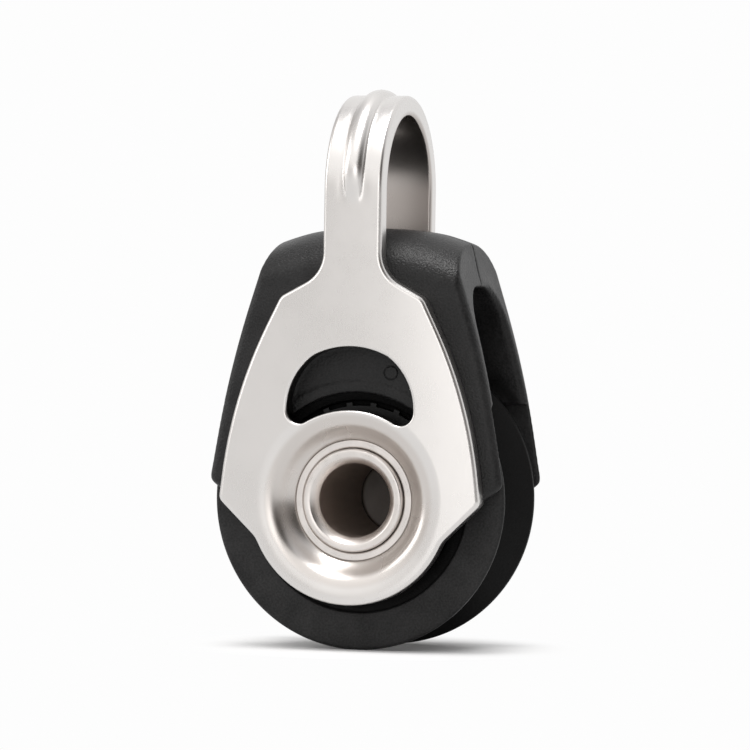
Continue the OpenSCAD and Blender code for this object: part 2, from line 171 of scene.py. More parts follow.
class CheekSizes(PropertyGroup):
    """Sizes of the moulded cheeks."""

    crown_radius: length("Crown radius", 40 * MM, "Radius of the crown")
    roll_radius: length("Roll radius", 27 * MM, "Radius of the rolled edge seen along the axle")
    roll_lift: length("Roll lift", 0.3 * MM, "How far above the crown that edge starts")
    roll_drop: length("Roll drop", 4.4 * MM, "How far the crown rolls down to the outer face")
    roll_depth: length("Roll depth", 7.2 * MM, "How far in from the outer face the roll starts")
    edge: length("Edge", 0.95 * MM, "Rounding of the outer face's sides")
    soft: length("Soft edges", 0.14 * MM, "Softness of the moulded edges")
    opening: length("Opening", 10.7 * MM, "Radius of the opening around the hub")
    lip: length("Lip", 11.8 * MM, "Outer radius of the raised lip around the opening")
    lip_height: length("Lip height", 0.15 * MM, "Height of that lip over the pocket's floor")
    pocket: length("Pocket", 0.8 * MM, "Depth of the pocket behind the window")
    cove: length("Cove", 0.5 * MM, "Radius between the pocket's wall and floor")
    slot_step: length("Slot step", 9.6 * MM, "Height where the slot opens out for the sheave")
    slot_round: length("Slot rounding", 4.3 * MM, "Rounding of the slot's upper corners")
    rim_relief: length("Rim relief", 0.55 * MM, "Relief inside each cheek's rim below that step")


class SheaveSizes(PropertyGroup):
    """Sizes of the sheave."""

    rim_land: length("Rim", 0.85 * MM, "Thickness of a flange at its rim")
    rim_round: length("Rim rounding", 0.42 * MM, "Rounding of the flange rims")
    floor: length("Groove floor", 10.9 * MM, "Radius at the floor of the groove")
    floor_width: length("Groove floor width", 4.6 * MM, "Flat width of the groove floor")
    recess: length("Recess", 11.3 * MM, "Radius of the shallow recess in each side")
    recess_depth: length("Recess depth", 0.45 * MM, "Depth of that recess")
    track: length("Ball seat", 9.38 * MM, "Radius of the seat that the balls run on")


class HubSizes(PropertyGroup):
    """Sizes of the axle and its rings."""

    bore: length("Bore", 3.67 * MM, "Radius of the axle's bore")
    countersink: length("Countersink", 0.95 * MM, "Depth of the countersink at the mouth")
    end_land: length("End land", 0.45 * MM, "Flat left around the countersink")
    edge: length("Edge", 0.3 * MM, "Rounding of the axle's outer edge")
    ring_bore: length("Ring bore", 5.2 * MM, "Radius of the hole in a hub ring")
    ring_edge: length("Ring edge", 0.1 * MM, "Rounding of the rings' outer edge")
    ring_mouth: length("Ring mouth", 0.18 * MM, "Chamfer at the rings' hole")


class Finishes(PropertyGroup):
    """Colours and roughness of the materials."""

    steel: colour("Strap metal", (0.73, 0.708, 0.69), "Colour of the satin strap")
    # Painted shade: the dish's darker, browner colour stands in for the dim floor that it reflects
    dish: colour("Dish", (0.60, 0.56, 0.53), "Colour of the turned dish")
    # Painted shade: darker colour on the inside of the eye's bend
    inside: colour("Inside", (0.44, 0.40, 0.375), "Colour of the unpolished inside of the eye")
    # Painted shade: the bore's wall is darker than the axle, and the bore's floor near black
    bore: colour("Bore", (0.62, 0.56, 0.52), "Colour of the bore's wall")
    bore_end: length("Bore end", 7.45 * MM, "Place along the axle just behind the bore's floor")
    bore_floor_shade: colour("Bore floor", (0.05, 0.045, 0.042), "Colour of the bore's floor")
    # Painted shade: the window's walls are made near black
    cut: colour("Cut edge", (0.035, 0.028, 0.024), "Colour of the window's cut edge")
    crown: share("Plate crown", 0.006, "How much the plates curve back to their sides, in 1/mm")
    turned: colour("Turned metal", (0.76, 0.72, 0.69), "Colour of the axle and rings")
    cheek: colour("Cheeks", (0.013, 0.0128, 0.013), "Colour of the moulded cheeks")
    sheave: colour("Sheave", (0.022, 0.0218, 0.022), "Colour of the sheave")
    cage: colour("Cages", (0.007, 0.007, 0.0072), "Colour of the ball cages")
    ball: colour("Balls", (0.80, 0.79, 0.74), "Colour of the balls")


class StudioSettings(PropertyGroup):
    """Camera, floor and lights."""

    azimuth: angle("Azimuth", 16.9, "Camera's turn round the block")
    elevation: angle("Elevation", 1.0, "Camera's height above the horizon")
    roll: angle("Roll", 0.95, "Camera's roll")
    distance: length("Distance", 0.55, "Camera's distance from the block")
    aside: length("Aside", -0.3 * MM, "Camera's aim to the right of the hub")
    aim: length("Aim", 12.37 * MM, "Camera's aim above the hub")
    lens: share("Lens", 262.0, "Focal length in millimetres on a 36 mm sensor")
    white: colour("White", (0.983, 0.983, 0.983), "Colour of the backdrop")
    room: colour("Room", (0.24, 0.225, 0.215), "Colour of the room before the block")
    floor_glow: share("Floor glow", 0.04, "Glow that makes the lit floor as white as the backdrop")
    floor_near: length("Floor near", 0.0155, "Distance up to which the floor keeps shadows")
    floor_far: length("Floor far", 0.026, "Distance from which the floor is plain white")


class BlockSettings(PropertyGroup):
    """All the settings of the block."""

    strap: PointerProperty(type=StrapSizes)
    cheeks: PointerProperty(type=CheekSizes)
    sheave: PointerProperty(type=SheaveSizes)
    hub: PointerProperty(type=HubSizes)
    finishes: PointerProperty(type=Finishes)
    studio: PointerProperty(type=StudioSettings)


# Outlines: points (across, up) in metres


def arc(centre, radius, start, end, steps):
    """Points on a circle between two angles in radians."""
    return [(centre[0] + radius * math.cos(start + (end - start) * i / steps),
             centre[1] + radius * math.sin(start + (end - start) * i / steps))
            for i in range(steps + 1)]


def fillet(before, corner, after, radius, steps):
    """Points of the round corner that is tangent to both sides."""
    p = Vector(corner)
    u = (Vector(before) - p).normalized()
    v = (Vector(after) - p).normalized()
    half = u.angle(v) / 2
    centre = p + (u + v).normalized() * radius / math.sin(half)
    first = p + u * radius / math.tan(half) - centre
    last = p + v * radius / math.tan(half) - centre
    start = math.atan2(first.y, first.x)
    turn = (math.atan2(last.y, last.x) - start + 1.5 * TURN) % TURN - TURN / 2
    return arc(centre, radius, start, start + turn, steps)


def rounded(corners, steps=10):
    """A closed outline through corners (across, up, radius) with round corners."""
    points = []
    for i, (x, z, radius) in enumerate(corners):
        if radius:
            after = corners[(i + 1) % len(corners)]
            points += fillet(corners[i - 1][:2], (x, z), after[:2], radius, steps)
        else:
            points.append((x, z))
    return points


def mirrored(half):
    """A right half and its mirror image, in one closed order."""
    return half + [(-x, *rest) for x, *rest in reversed(half)]


def resampled(points, step, closed):
    """The same line with points a step apart, its own corners kept."""
    line = points + points[:1] if closed else points
    made = []
    for a, b in zip(line, line[1:]):
        run = math.dist(a, b)
        parts = max(1, round(run / step))
        made += [(a[0] + (b[0] - a[0]) * i / parts, a[1] + (b[1] - a[1]) * i / parts)
                 for i in range(parts)]
    return made if closed else made + [line[-1]]


def quarter_round(radius, steps):
    """(inset, depth) pairs over a rounded edge, from its flat side to its wall."""
    angles = [math.pi / 2 * i / steps for i in range(steps + 1)]
    return [(radius * (1 - math.sin(a)), radius * (1 - math.cos(a))) for a in angles]


def without_doubles(points, least=1e-3 * MM):
    """Drops a point that lies on the one before it."""
    kept = []
    for p in points:
        if not kept or math.dist(p, kept[-1]) > least:
            kept.append(p)
    return kept


def left_normals(points, closed):
    """A unit normal at each point, to the left of the way the line goes."""
    n = len(points)
    made = []
    for i in range(n):
        sides = []
        for a, b in ((i - 1, i), (i, i + 1)):
            if closed or (a >= 0 and b < n):
                p, q = points[a % n], points[b % n]
                sides.append(Vector((p[1] - q[1], q[0] - p[0])).normalized())
        made.append(sum(sides, Vector((0, 0))).normalized())
    return made


def moved_out(points, normals, distance):
    """The line moved along its normals."""
    return [(p[0] + n.x * distance, p[1] + n.y * distance) for p, n in zip(points, normals)]


def inside(point, loop):
    """Whether a point lies in a closed outline."""
    x, z = point
    found = False
    for (ax, az), (bx, bz) in zip(loop, loop[1:] + loop[:1]):
        if (az > z) != (bz > z) and x < (bx - ax) * (z - az) / (bz - az) + ax:
            found = not found
    return found


def eased(t):
    """Goes smoothly from 0 to 1."""
    t = min(max(t, 0), 1)
    return t * t * (3 - 2 * t)


class Surface:
    """A surface put together from rows of points."""

    def __init__(self):
        self.points = []
        self.faces = []

    def row(self, points):
        """Adds points and gives their numbers."""
        start = len(self.points)
        self.points += [Vector(p) for p in points]
        return list(range(start, len(self.points)))

    def join(self, a, b, closed=True):
        """Joins two rows with a strip of faces."""
        count = len(a)
        for i in range(count if closed else count - 1):
            j = (i + 1) % count
            self.faces.append((a[i], a[j], b[j], b[i]))

    def skin(self, rows, closed=True):
        """Joins each row to the next."""
        for a, b in zip(rows, rows[1:]):
            self.join(a, b, closed)

    def close_ends(self, rows):
        """Puts a face on the first and on the last row."""
        self.faces += [rows[0], list(reversed(rows[-1]))]

    def fill(self, outline, holes):
        """Fills a flat outline in an X-Z plane and leaves its holes open."""
        loops = [outline, *holes]
        flat = [[(self.points[i].x / MM, self.points[i].z / MM) for i in loop] for loop in loops]
        points = [p for loop in flat for p in loop]
        index = [i for loop in loops for i in loop]
        edges, start = [], 0
        for loop in flat:
            n = len(loop)
            edges += [(start + i, start + (i + 1) % n) for i in range(n)]
            start += n
        made = geometry.delaunay_2d_cdt([Vector(p) for p in points], edges, [], 0, 1e-6)
        corners, faces, origins = made[0], made[2], made[3]
        for face in faces:
            middle = sum((corners[i] for i in face), Vector((0, 0))) / len(face)
            if inside(middle, flat[0]) and not any(inside(middle, h) for h in flat[1:]):
                self.faces.append([index[origins[i][0]] for i in face])

    def mirrored_back(self):
        """Adds the same surface on the back of the block."""
        start = len(self.points)
        self.points += [Vector((p.x, -p.y, p.z)) for p in self.points]
        self.faces += [[i + start for i in reversed(f)] for f in list(self.faces)]

    def piece(self, name, material, sharp=None):
        """Makes the object, closed and smooth."""
        mesh = bpy.data.meshes.new(name)
        mesh.from_pydata(self.points, [], self.faces)
        body = bmesh.new()
        body.from_mesh(mesh)
        bmesh.ops.remove_doubles(body, verts=body.verts, dist=1e-4 * MM)
        bmesh.ops.recalc_face_normals(body, faces=body.faces)
        for face in body.faces:
            face.smooth = True
        if sharp:
            for edge in body.edges:
                edge.smooth = edge.calc_face_angle(0) < sharp
        body.to_mesh(mesh)
        body.free()
        mesh.materials.append(material)
        made = bpy.data.objects.new(name, mesh)
        bpy.context.scene.collection.objects.link(made)
        return made


def lathe(profile, name, material, steps=192, sharp=None):
    """A closed round body about the axle from an outline of (radius, along the axle)."""
    body = Surface()
    rows = []
    for radius, y in profile:
        if radius < ON_AXIS:
            rows.append(body.row([(0, y, 0)]) * steps)
            continue
        rows.append(body.row([(radius * math.cos(TURN * i / steps), y,
                               radius * math.sin(TURN * i / steps)) for i in range(steps)]))
    body.skin(rows)
    if profile[0][0] >= ON_AXIS:
        body.join(rows[-1], rows[0])
    body.faces = [f for f in (list(dict.fromkeys(face)) for face in body.faces) if len(f) > 2]
    return body.piece(name, material, sharp)


# Materials


class Nodes:
    """Short ways to wire a node tree."""

    def __init__(self, tree):
        self.tree = tree

    def new(self, kind):
        """Adds a node."""
        return self.tree.nodes.new(kind)

    def put(self, socket, value):
        """Feeds a socket from another one or with a plain value."""
        if hasattr(value, "links"):
            self.tree.links.new(value, socket)
        else:
            socket.default_value = value

    def math(self, kind, a, b=0.0):
        """One or two values put through an operation."""
        node = self.new("ShaderNodeMath")
        node.operation = kind
        self.put(node.inputs[0], a)
        self.put(node.inputs[1], b)
        return node.outputs[0]

    def product(self, first, *others):
        """All the values multiplied."""
        for other in others:
            first = self.math("MULTIPLY", first, other)
        return first

    def spread(self, value, low, high, start=0.3, end=0.7):
        """Maps a value from start..end smoothly to low..high."""
        node = self.new("ShaderNodeMapRange")
        node.interpolation_type = "SMOOTHSTEP"
        self.put(node.inputs["Value"], value)
        for socket, number in (("From Min", start), ("From Max", end),
                               ("To Min", low), ("To Max", high)):
            node.inputs[socket].default_value = number
        return node.outputs["Result"]

    def above(self, value, start, end):
        """0 up to start, and 1 from end on."""
        return self.spread(value, 0.0, 1.0, start, end)

    def below(self, value, start, end):
        """1 up to start, and 0 from end on."""
        return self.spread(value, 1.0, 0.0, start, end)

    def mix(self, factor, a, b):
        """A number mixed from two."""
        node = self.new("ShaderNodeMix")
        self.put(node.inputs["Factor"], factor)
        self.put(node.inputs["A"], a)
        self.put(node.inputs["B"], b)
        return node.outputs[0]

    def tint(self, factor, a, b):
        """A colour mixed from two."""
        node = self.new("ShaderNodeMix")
        node.data_type = "RGBA"
        self.put(node.inputs["Factor"], factor)
        for socket, tone in ((COLOUR_A, a), (COLOUR_B, b)):
            self.put(node.inputs[socket], tone if hasattr(tone, "links") else (*tone, 1))
        return node.outputs[2]

    def shaded(self, factor, tone, dark, light=1.0):
        """A colour that goes from a dark to a light shade of a tone."""
        return self.tint(factor, [c * dark for c in tone], [c * light for c in tone])


class Finish(Nodes):
    """A piece's material in the making, laid out in metres from the hub."""

    def __init__(self, name):
        self.material = bpy.data.materials.new(name)
        self.material.use_nodes = True
        super().__init__(self.material.node_tree)
        self.shader = self.tree.nodes["Principled BSDF"]
        self.place = self.new("ShaderNodeTexCoord").outputs["Object"]

    def noise(self, scale, detail=3.0, rough=0.55, stretch=(1, 1, 1)):
        """Noise between 0 and 1; scale is its grains per metre."""
        mapping = self.new("ShaderNodeMapping")
        mapping.inputs["Scale"].default_value = [scale * s for s in stretch]
        self.put(mapping.inputs["Vector"], self.place)
        node = self.new("ShaderNodeTexNoise")
        self.put(node.inputs["Vector"], mapping.outputs["Vector"])
        node.inputs["Scale"].default_value = 1.0
        node.inputs["Detail"].default_value = detail
        node.inputs["Roughness"].default_value = rough
        return node.outputs["Fac"]

    def ring_noise(self, radius, width):
        """Noise that only changes from ring to ring about the axle."""
        node = self.new("ShaderNodeTexNoise")
        node.noise_dimensions = "1D"
        self.put(node.inputs["W"], self.product(radius, 1 / width))
        node.inputs["Scale"].default_value = 1.0
        return node.outputs["Fac"]

    def bump(self, height, distance, under=None):
        """A normal that is raised by a height, on top of another normal."""
        node = self.new("ShaderNodeBump")
        node.inputs["Strength"].default_value = 1.0
        node.inputs["Distance"].default_value = distance
        self.put(node.inputs["Height"], height)
        if under is not None:
            self.put(node.inputs["Normal"], under)
        return node.outputs["Normal"]

    def places(self):
        """The place across, along the axle and up, in metres."""
        split = self.new("ShaderNodeSeparateXYZ")
        self.put(split.inputs[0], self.place)
        return split.outputs[0], split.outputs[1], split.outputs[2]

    def away(self, a, b):
        """Distance from a line, by the places along two axes."""
        return self.math("SQRT", self.math("ADD", self.product(a, a), self.product(b, b)))

    def finish(self, base, roughness, normal, metallic=0.0, gloss=0.5):
        """Feeds the shader and gives the material."""
        self.put(self.shader.inputs["Base Color"], base)
        self.put(self.shader.inputs["Roughness"], roughness)
        self.put(self.shader.inputs["Normal"], normal)
        self.shader.inputs["Metallic"].default_value = metallic
        self.shader.inputs["Specular IOR Level"].default_value = gloss
        return self.material


def satin_strap(look, eye_z):
    """Satin stainless sheet: fine grain on the plates, polished in the dish and over the eye.
    Painted shade gives the dish a darker, browner colour for the dim floor that it reflects,
    darkens the inside of the eye's bend, and makes the window's walls near black."""
    n = Finish("satin_strap")
    across, along, height = n.places()
    depth = n.math("ABSOLUTE", along)
    radius = n.away(across, height)
    grain = n.noise(11000, 4, 0.6, (1, 1, 0.12))
    clouds = n.noise(160)
    dish = n.below(radius, 8.3 * MM, 8.9 * MM)
    eye = n.above(height, 28.5 * MM, 32 * MM)
    over_eye = n.math("MAXIMUM", n.math("SUBTRACT", height, eye_z), 0.0)
    # The inside of the eye's bend, which gets painted shade
    eye_inside_shade = n.product(n.below(n.away(depth, over_eye), 7.75 * MM, 8.3 * MM),
                           n.above(height, 24 * MM, 26 * MM))
    # The window's walls, which get painted shade
    window_wall_shade = n.product(n.below(depth, 9.2 * MM, 9.45 * MM),
                         n.below(n.math("ABSOLUTE", across), 6.9 * MM, 7.3 * MM),
                         n.above(radius, 8.75 * MM, 8.85 * MM),
                         n.above(height, 3 * MM, 4 * MM), n.below(height, 16 * MM, 17 * MM))
    base = n.shaded(n.spread(clouds, 0, 1), look.steel, dark=0.955)
    # Painted shade: a darker, browner dish, a darker inside of the eye's bend and near-black
    # window walls
    base = n.tint(n.product(dish, 0.75), base, look.dish)
    base = n.tint(n.product(eye_inside_shade, 0.9), base, look.inside)
    base = n.tint(window_wall_shade, base, look.cut)
    satin = n.math("ADD", n.spread(grain, 0.27, 0.31), n.spread(clouds, -0.015, 0.02))
    polished = n.spread(clouds, 0.25, 0.31)
    rough = n.mix(n.math("MAXIMUM", dish, eye), satin, polished)
    plate_crown = n.product(across, across, -look.crown / MM)
    brim = n.above(radius, 7.9 * MM, 9.7 * MM)
    rings = n.math("SINE", n.product(radius, TURN / (0.11 * MM)))
    normal = n.bump(plate_crown, 1.0)
    normal = n.bump(brim, 0.22 * MM, normal)
    normal = n.bump(n.product(rings, dish), 0.0004 * MM, normal)
    normal = n.bump(grain, 0.0003 * MM, normal)
    return n.finish(base, rough, normal, metallic=1.0)


def turned_metal(look, name="turned_metal", low=0.28, high=0.38):
    """Lathe-turned metal with fine rings about the axle, rougher in the bore; painted shade makes
    the bore's wall darker and its floor near black; low and high are its roughness."""
    n = Finish(name)
    across, along, height = n.places()
    radius = n.away(across, height)
    clouds = n.noise(700, 4)
    wave = n.ring_noise(radius, 0.09 * MM)
    # Painted shade in the bore: the wall is darkened, and the floor behind it is painted near
    # black
    bore = n.product(n.below(radius, 3.66 * MM, 3.76 * MM),
                     n.above(along, -7.4 * MM, -7.1 * MM),
                     n.below(along, look.bore_end, look.bore_end + 0.15 * MM))
    floor = n.above(along, look.bore_end - 0.6 * MM, look.bore_end - 0.3 * MM)
    base = n.shaded(n.spread(clouds, 0, 1), look.turned, dark=0.9)
    # Painted shade on the bore's wall and floor
    base = n.tint(bore, base, n.tint(floor, look.bore, look.bore_floor_shade))
    rough = n.math("ADD", n.spread(wave, low, high), n.spread(clouds, -0.02, 0.04))
    rough = n.math("ADD", rough, n.product(bore, 0.1))
    normal = n.bump(clouds, 0.002 * MM, n.bump(wave, 0.002 * MM))
    return n.finish(base, rough, normal, metallic=1.0)


def moulded_black(name, tone, low, high, relief, gloss=0.25, groove_shade=1.0):
    """Black glass-filled plastic with a fine spark-eroded texture; low and high are its roughness,
    relief is the texture's depth, and the groove factor paints shade in a sheave's groove: it
    darkens what lies between the sheave's two faces."""
    n = Finish(name)
    grain = n.noise(4800, 2, 0.5)
    clouds = n.noise(260, 4)
    mottle = n.math("ADD", n.spread(clouds, 0, 0.5), n.spread(grain, 0, 0.5))
    base = n.shaded(mottle, tone, dark=0.5, light=1.55)
    # Painted shade: the groove between the sheave's two faces is darkened
    if groove_shade < 1:
        face = n.above(n.math("ABSOLUTE", n.places()[1]), 5.6 * MM, 6 * MM)
        base = n.tint(face, [c * groove_shade for c in tone], base)
    rough = n.math("ADD", n.spread(clouds, low, high), n.spread(grain, -0.03, 0.03))
    return n.finish(base, rough, n.bump(grain, relief), gloss=gloss)


def polished_balls(look):
    """Off-white acetal balls."""
    n = Finish("polished_balls")
    clouds = n.noise(1500)
    base = n.shaded(n.spread(clouds, 0, 1), look.ball, dark=0.93)
    return n.finish(base, n.spread(clouds, 0.18, 0.28), n.bump(clouds, 0.001 * MM))


# Strap


def window_outline(grow=0.0):
    """The kidney window's outline, anticlockwise."""
    floor, end, half, top_radius = WINDOW_FLOOR, WINDOW_END, WINDOW_HALF, WINDOW_TOP_RADIUS
    side = Vector((0, WINDOW_SIDE_Z))
    top = Vector((0, WINDOW_TOP_Z - top_radius))
    end_reach = floor + end
    end_z = (end_reach ** 2 + side.y ** 2 - (half - end) ** 2) / (2 * side.y)
    end_centre = Vector((math.sqrt(end_reach ** 2 - end_z ** 2), end_z))
    meet_z = (((half ** 2 - side.y ** 2) - (top_radius ** 2 - top.y ** 2))
              / (2 * (top.y - side.y)))
    meet = Vector((math.sqrt(half ** 2 - (meet_z - side.y) ** 2), meet_z))
    floor_angle = math.atan2(end_centre.y, end_centre.x)
    outward = end_centre - side
    side_angle = math.atan2(outward.y, outward.x)
    half_line = arc((0, 0), floor, math.pi / 2, floor_angle, 14)
    half_line += arc(end_centre, end, floor_angle + math.pi, side_angle + TURN, 16)[1:]
    meet_side = math.atan2(meet.y - side.y, meet.x)
    half_line += arc(side, half, side_angle, meet_side, 16)[1:]
    half_line += arc(top, top_radius, math.atan2(meet.y - top.y, meet.x), math.pi / 2, 12)[1:]
    line = without_doubles(half_line + [(-x, z) for x, z in reversed(half_line[1:-1])])
    return moved_out(line, left_normals(line, True), -grow) if grow else line


def plate_edge(s, join):
    """A side plate's edge, from the right end of the neck clockwise to its left end."""
    neck = s.neck / 2
    foot_z, foot_round = NECK_FOOT
    corners = [(neck, join, 0), (neck, foot_z * MM, foot_round * MM)]
    corners += [(x * MM, z * MM, radius * MM) for x, z, radius in PLATE_CORNERS]
    slope_end = (s.lobe * 0.85, -s.lobe * 0.45)
    line = [corners[0][:2]]
    for before, corner, after in zip(corners, corners[1:], corners[2:] + [(*slope_end, 0)]):
        line += fillet(before[:2], corner[:2], after[:2], corner[2], 12)
    wide = Vector(corners[-1][:2])
    along = (Vector(slope_end) - wide).normalized()
    out = Vector((-along.y, along.x))
    soft = 3 * MM
    off = wide.dot(out) + soft
    centre = out * off - along * math.sqrt((s.lobe + soft) ** 2 - off ** 2)
    first = centre - out * soft
    last = centre * (s.lobe / (s.lobe + soft))
    start = math.atan2(first.y - centre.y, first.x - centre.x)
    end = math.atan2(last.y - centre.y, last.x - centre.x)
    line += arc(centre, soft, start, start + (end - start + 1.5 * TURN) % TURN - TURN / 2, 6)
    lobe_start = math.atan2(last.y, last.x)
    line += arc((0, 0), s.lobe, lobe_start, -math.pi / 2, 40)[1:]
    line = resampled(without_doubles(line), 0.8 * MM, False)
    return line + [(-x, z) for x, z in reversed(line[:-1])]


def edge_steps(s, steps=6):
    """(inset, depth) pairs over a rounded strap edge, from the outer to the inner face."""
    outer = quarter_round(s.outer_edge, steps)
    inner = [(b, s.thickness - a) for a, b in quarter_round(s.inner_edge, steps)]
    return [(s.outer_edge + SUPPORT, 0), *outer, *inner, (s.inner_edge + SUPPORT, s.thickness)]


def strap_plate(s, face_y, join, columns):
    """The front side plate, with its window and its dished hub hole, as a surface."""
    plate = Surface()
    edge = plate_edge(s, join)
    normals = left_normals(edge, False)
    normals[0], normals[-1] = Vector((1, 0)), Vector((-1, 0))
    rows = []
    for inset, depth in edge_steps(s):
        rows.append(plate.row([(x, depth - face_y, z)
                               for x, z in moved_out(edge, normals, -inset)]))
    plate.skin(rows, closed=False)
    window_rows = []
    back_edge = 0.12 * MM
    window_wall = [(s.window_edge + SUPPORT, 0), *quarter_round(s.window_edge, 5),
                   (0, s.thickness - back_edge), (back_edge, s.thickness),
                   (back_edge + SUPPORT, s.thickness)]
    for out, depth in window_wall:
        window_rows.append(plate.row([(x, depth - face_y, z) for x, z in window_outline(out)]))
    plate.skin(window_rows)
    spokes = 144
    dish_rows = [plate.row([(r * math.cos(TURN * i / spokes), y, r * math.sin(TURN * i / spokes))
                            for i in range(spokes)]) for r, y in dish_profile(s, face_y)]
    plate.skin(dish_rows)
    top = plate.row([(x, -face_y, join) for x, _ in columns[1:-1]])
    plate.fill(rows[0] + list(top), [window_rows[0], dish_rows[0]])
    plate.fill(rows[-1], [window_rows[-1], dish_rows[-1]])
    return plate


def dish_profile(s, face_y):
    """(radius, y) from the flat of the front plate down the dish, through the hub hole and
    out again on the back of the dish."""
    hole = RING_HIGH[0] + 0.03 * MM
    ring_face = -RING_LOW[1]
    rim, foot = s.dish, hole + 0.06 * MM
    brim_pull, foot_pull, foot_lift = 1.25 * MM, 1.15 * MM, 0.85 * MM
    curve = [(rim, face_y), (rim - brim_pull, face_y), (foot + foot_pull, ring_face + foot_lift),
             (foot, ring_face)]
    down, steps = [], 24
    for i in range(steps + 1):
        t = i / steps
        weights = ((1 - t) ** 3, 3 * t * (1 - t) ** 2, 3 * t * t * (1 - t), t ** 3)
        down.append(tuple(sum(w * p[k] for w, p in zip(weights, curve)) for k in (0, 1)))
    inner = face_y - s.thickness
    back = [(hole, ring_face - 0.08 * MM), (hole, ring_face - s.thickness + 0.1 * MM),
            (hole + 0.1 * MM, ring_face - s.thickness), (rim - 1.0 * MM, inner - 0.35 * MM),
            (rim - 0.6 * MM, inner - 0.08 * MM), (rim - 0.2 * MM, inner),
            (rim - 0.2 * MM + SUPPORT, inner)]
    return [(r, -y) for r, y in [(rim + SUPPORT, face_y), *down, *back]]


def neck_columns(s):
    """(across, share of the bead's height) of the points over the neck's outer face, left to
    right; the share is None on the flat and IN_GROOVE beside the bead."""
    edge = s.neck / 2 - s.outer_edge - SUPPORT
    foot = s.bead_width / 2
    steps = 9
    half = [(foot * math.sin(a), math.cos(a))
            for a in (math.pi / 2 * i / steps for i in range(steps + 1))]
    half += [(foot + 0.14 * MM, IN_GROOVE), (foot + 0.45 * MM, None), (edge * 0.82, None),
             (edge, None)]
    return [(-x, k) for x, k in reversed(half[1:])] + half


def neck_section(s, columns, rise):
    """The neck's cross section as (across, depth below the outer face), closed; rise goes
    from 0 at the bead's foot to 1 where it is full."""
    groove_depth, foot_width, fullness = 0.1 * MM, 0.66, 1.15
    outer = []
    for x, k in columns:
        if k is None:
            outer.append((x, 0.0))
        elif k == IN_GROOVE:
            outer.append((x, groove_depth * math.sqrt(rise) * (1.3 - rise)))
        else:
            outer.append((x * (foot_width + (1 - foot_width) * rise),
                          -s.bead_height * rise * k ** fullness))
    steps = edge_steps(s)[1:]
    half = s.neck / 2
    right = [(half - inset, depth) for inset, depth in steps]
    left = [(-half + inset, depth) for inset, depth in reversed(steps)]
    return outer + right + left


def strap_eye(s, face_y, join, columns):
    """The band that goes from the front neck over the eye to the back neck."""
    band = Surface()
    legs, turns = 14, 72
    stations = [(-1, join + (s.eye - join) * i / legs, None) for i in range(legs)]
    stations += [(0, None, math.pi * i / turns) for i in range(turns + 1)]
    stations += [(1, s.eye + (join - s.eye) * i / legs, None) for i in range(1, legs + 1)]
    rows = []
    for side, z, turn in stations:
        top = z if turn is None else s.eye + face_y * math.sin(turn)
        rise = eased((top - s.bead_foot) / (s.bead_full - s.bead_foot))
        row = []
        for x, depth in neck_section(s, columns, rise):
            reach = face_y - depth
            if turn is None:
                row.append((x, side * reach, z))
            else:
                row.append((x, -reach * math.cos(turn), s.eye + reach * math.sin(turn)))
        rows.append(band.row(row))
    band.skin(rows)
    return band


class BLOCK_OT_strap(Operator):
    """Builds the metal strap: two side plates and the bend over the head eye"""

    bl_idname = "block.strap"
    bl_label = "Strap"

    def execute(self, context):
        settings = context.scene.pulley_block
        s = settings.strap
        face_y = STRAP_HIGH[1] - s.bead_height
        flat_below_bead = 1.4 * MM
        join = s.bead_foot - flat_below_bead
        columns = neck_columns(s)
        strap = strap_plate(s, face_y, join, columns)
        strap.mirrored_back()
        band = strap_eye(s, face_y, join, columns)
        start = len(strap.points)
        strap.points += band.points
        strap.faces += [[i + start for i in face] for face in band.faces]
        made = strap.piece("strap", satin_strap(settings.finishes, s.eye))
        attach(made, "block")
        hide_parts("head_strap")
        return {"FINISHED"}


# Cheeks


def cheek_outline(c):
    """A cheek's outline seen along the axle, without the crown's curve."""
    corners = [(x * MM, z * MM, radius * MM) for x, z, radius in CHEEK_CORNERS]
    top_x, top_z = corners[0][:2]
    low_x, low_z = corners[-1][:2]
    ridge_z = top_z + top_x ** 2 / math.sqrt(c.crown_radius ** 2 - top_x ** 2)
    tip_x = c.opening * 0.88
    tip_z = low_z - (low_x - tip_x) * math.tan(math.radians(CHEEK_TIP_SLOPE))
    return rounded(mirrored([(0.01 * MM, ridge_z, 0), *corners, (tip_x, tip_z, 0)]), 12)


def reach_at(outline, centre, way):
    """How far an outline lies from a centre within it, along a unit way."""
    best = 0.0
    for (ax, az), (bx, bz) in zip(outline, outline[1:] + outline[:1]):
        ex, ez = bx - ax, bz - az
        cross = way[0] * ez - way[1] * ex
        if abs(cross) < 1e-12:
            continue
        px, pz = ax - centre[0], az - centre[1]
        run = (px * ez - pz * ex) / cross
        along = (px * way[1] - pz * way[0]) / cross
        if run > 0 and -1e-9 <= along <= 1 + 1e-9:
            best = max(best, run)
    return best


def quarter(t):
    """Share of a quarter round's drop left at t of its depth."""
    return 0.0 if t >= 1 else 1 - math.sqrt(max(0.0, 1 - (1 - t) ** 2))


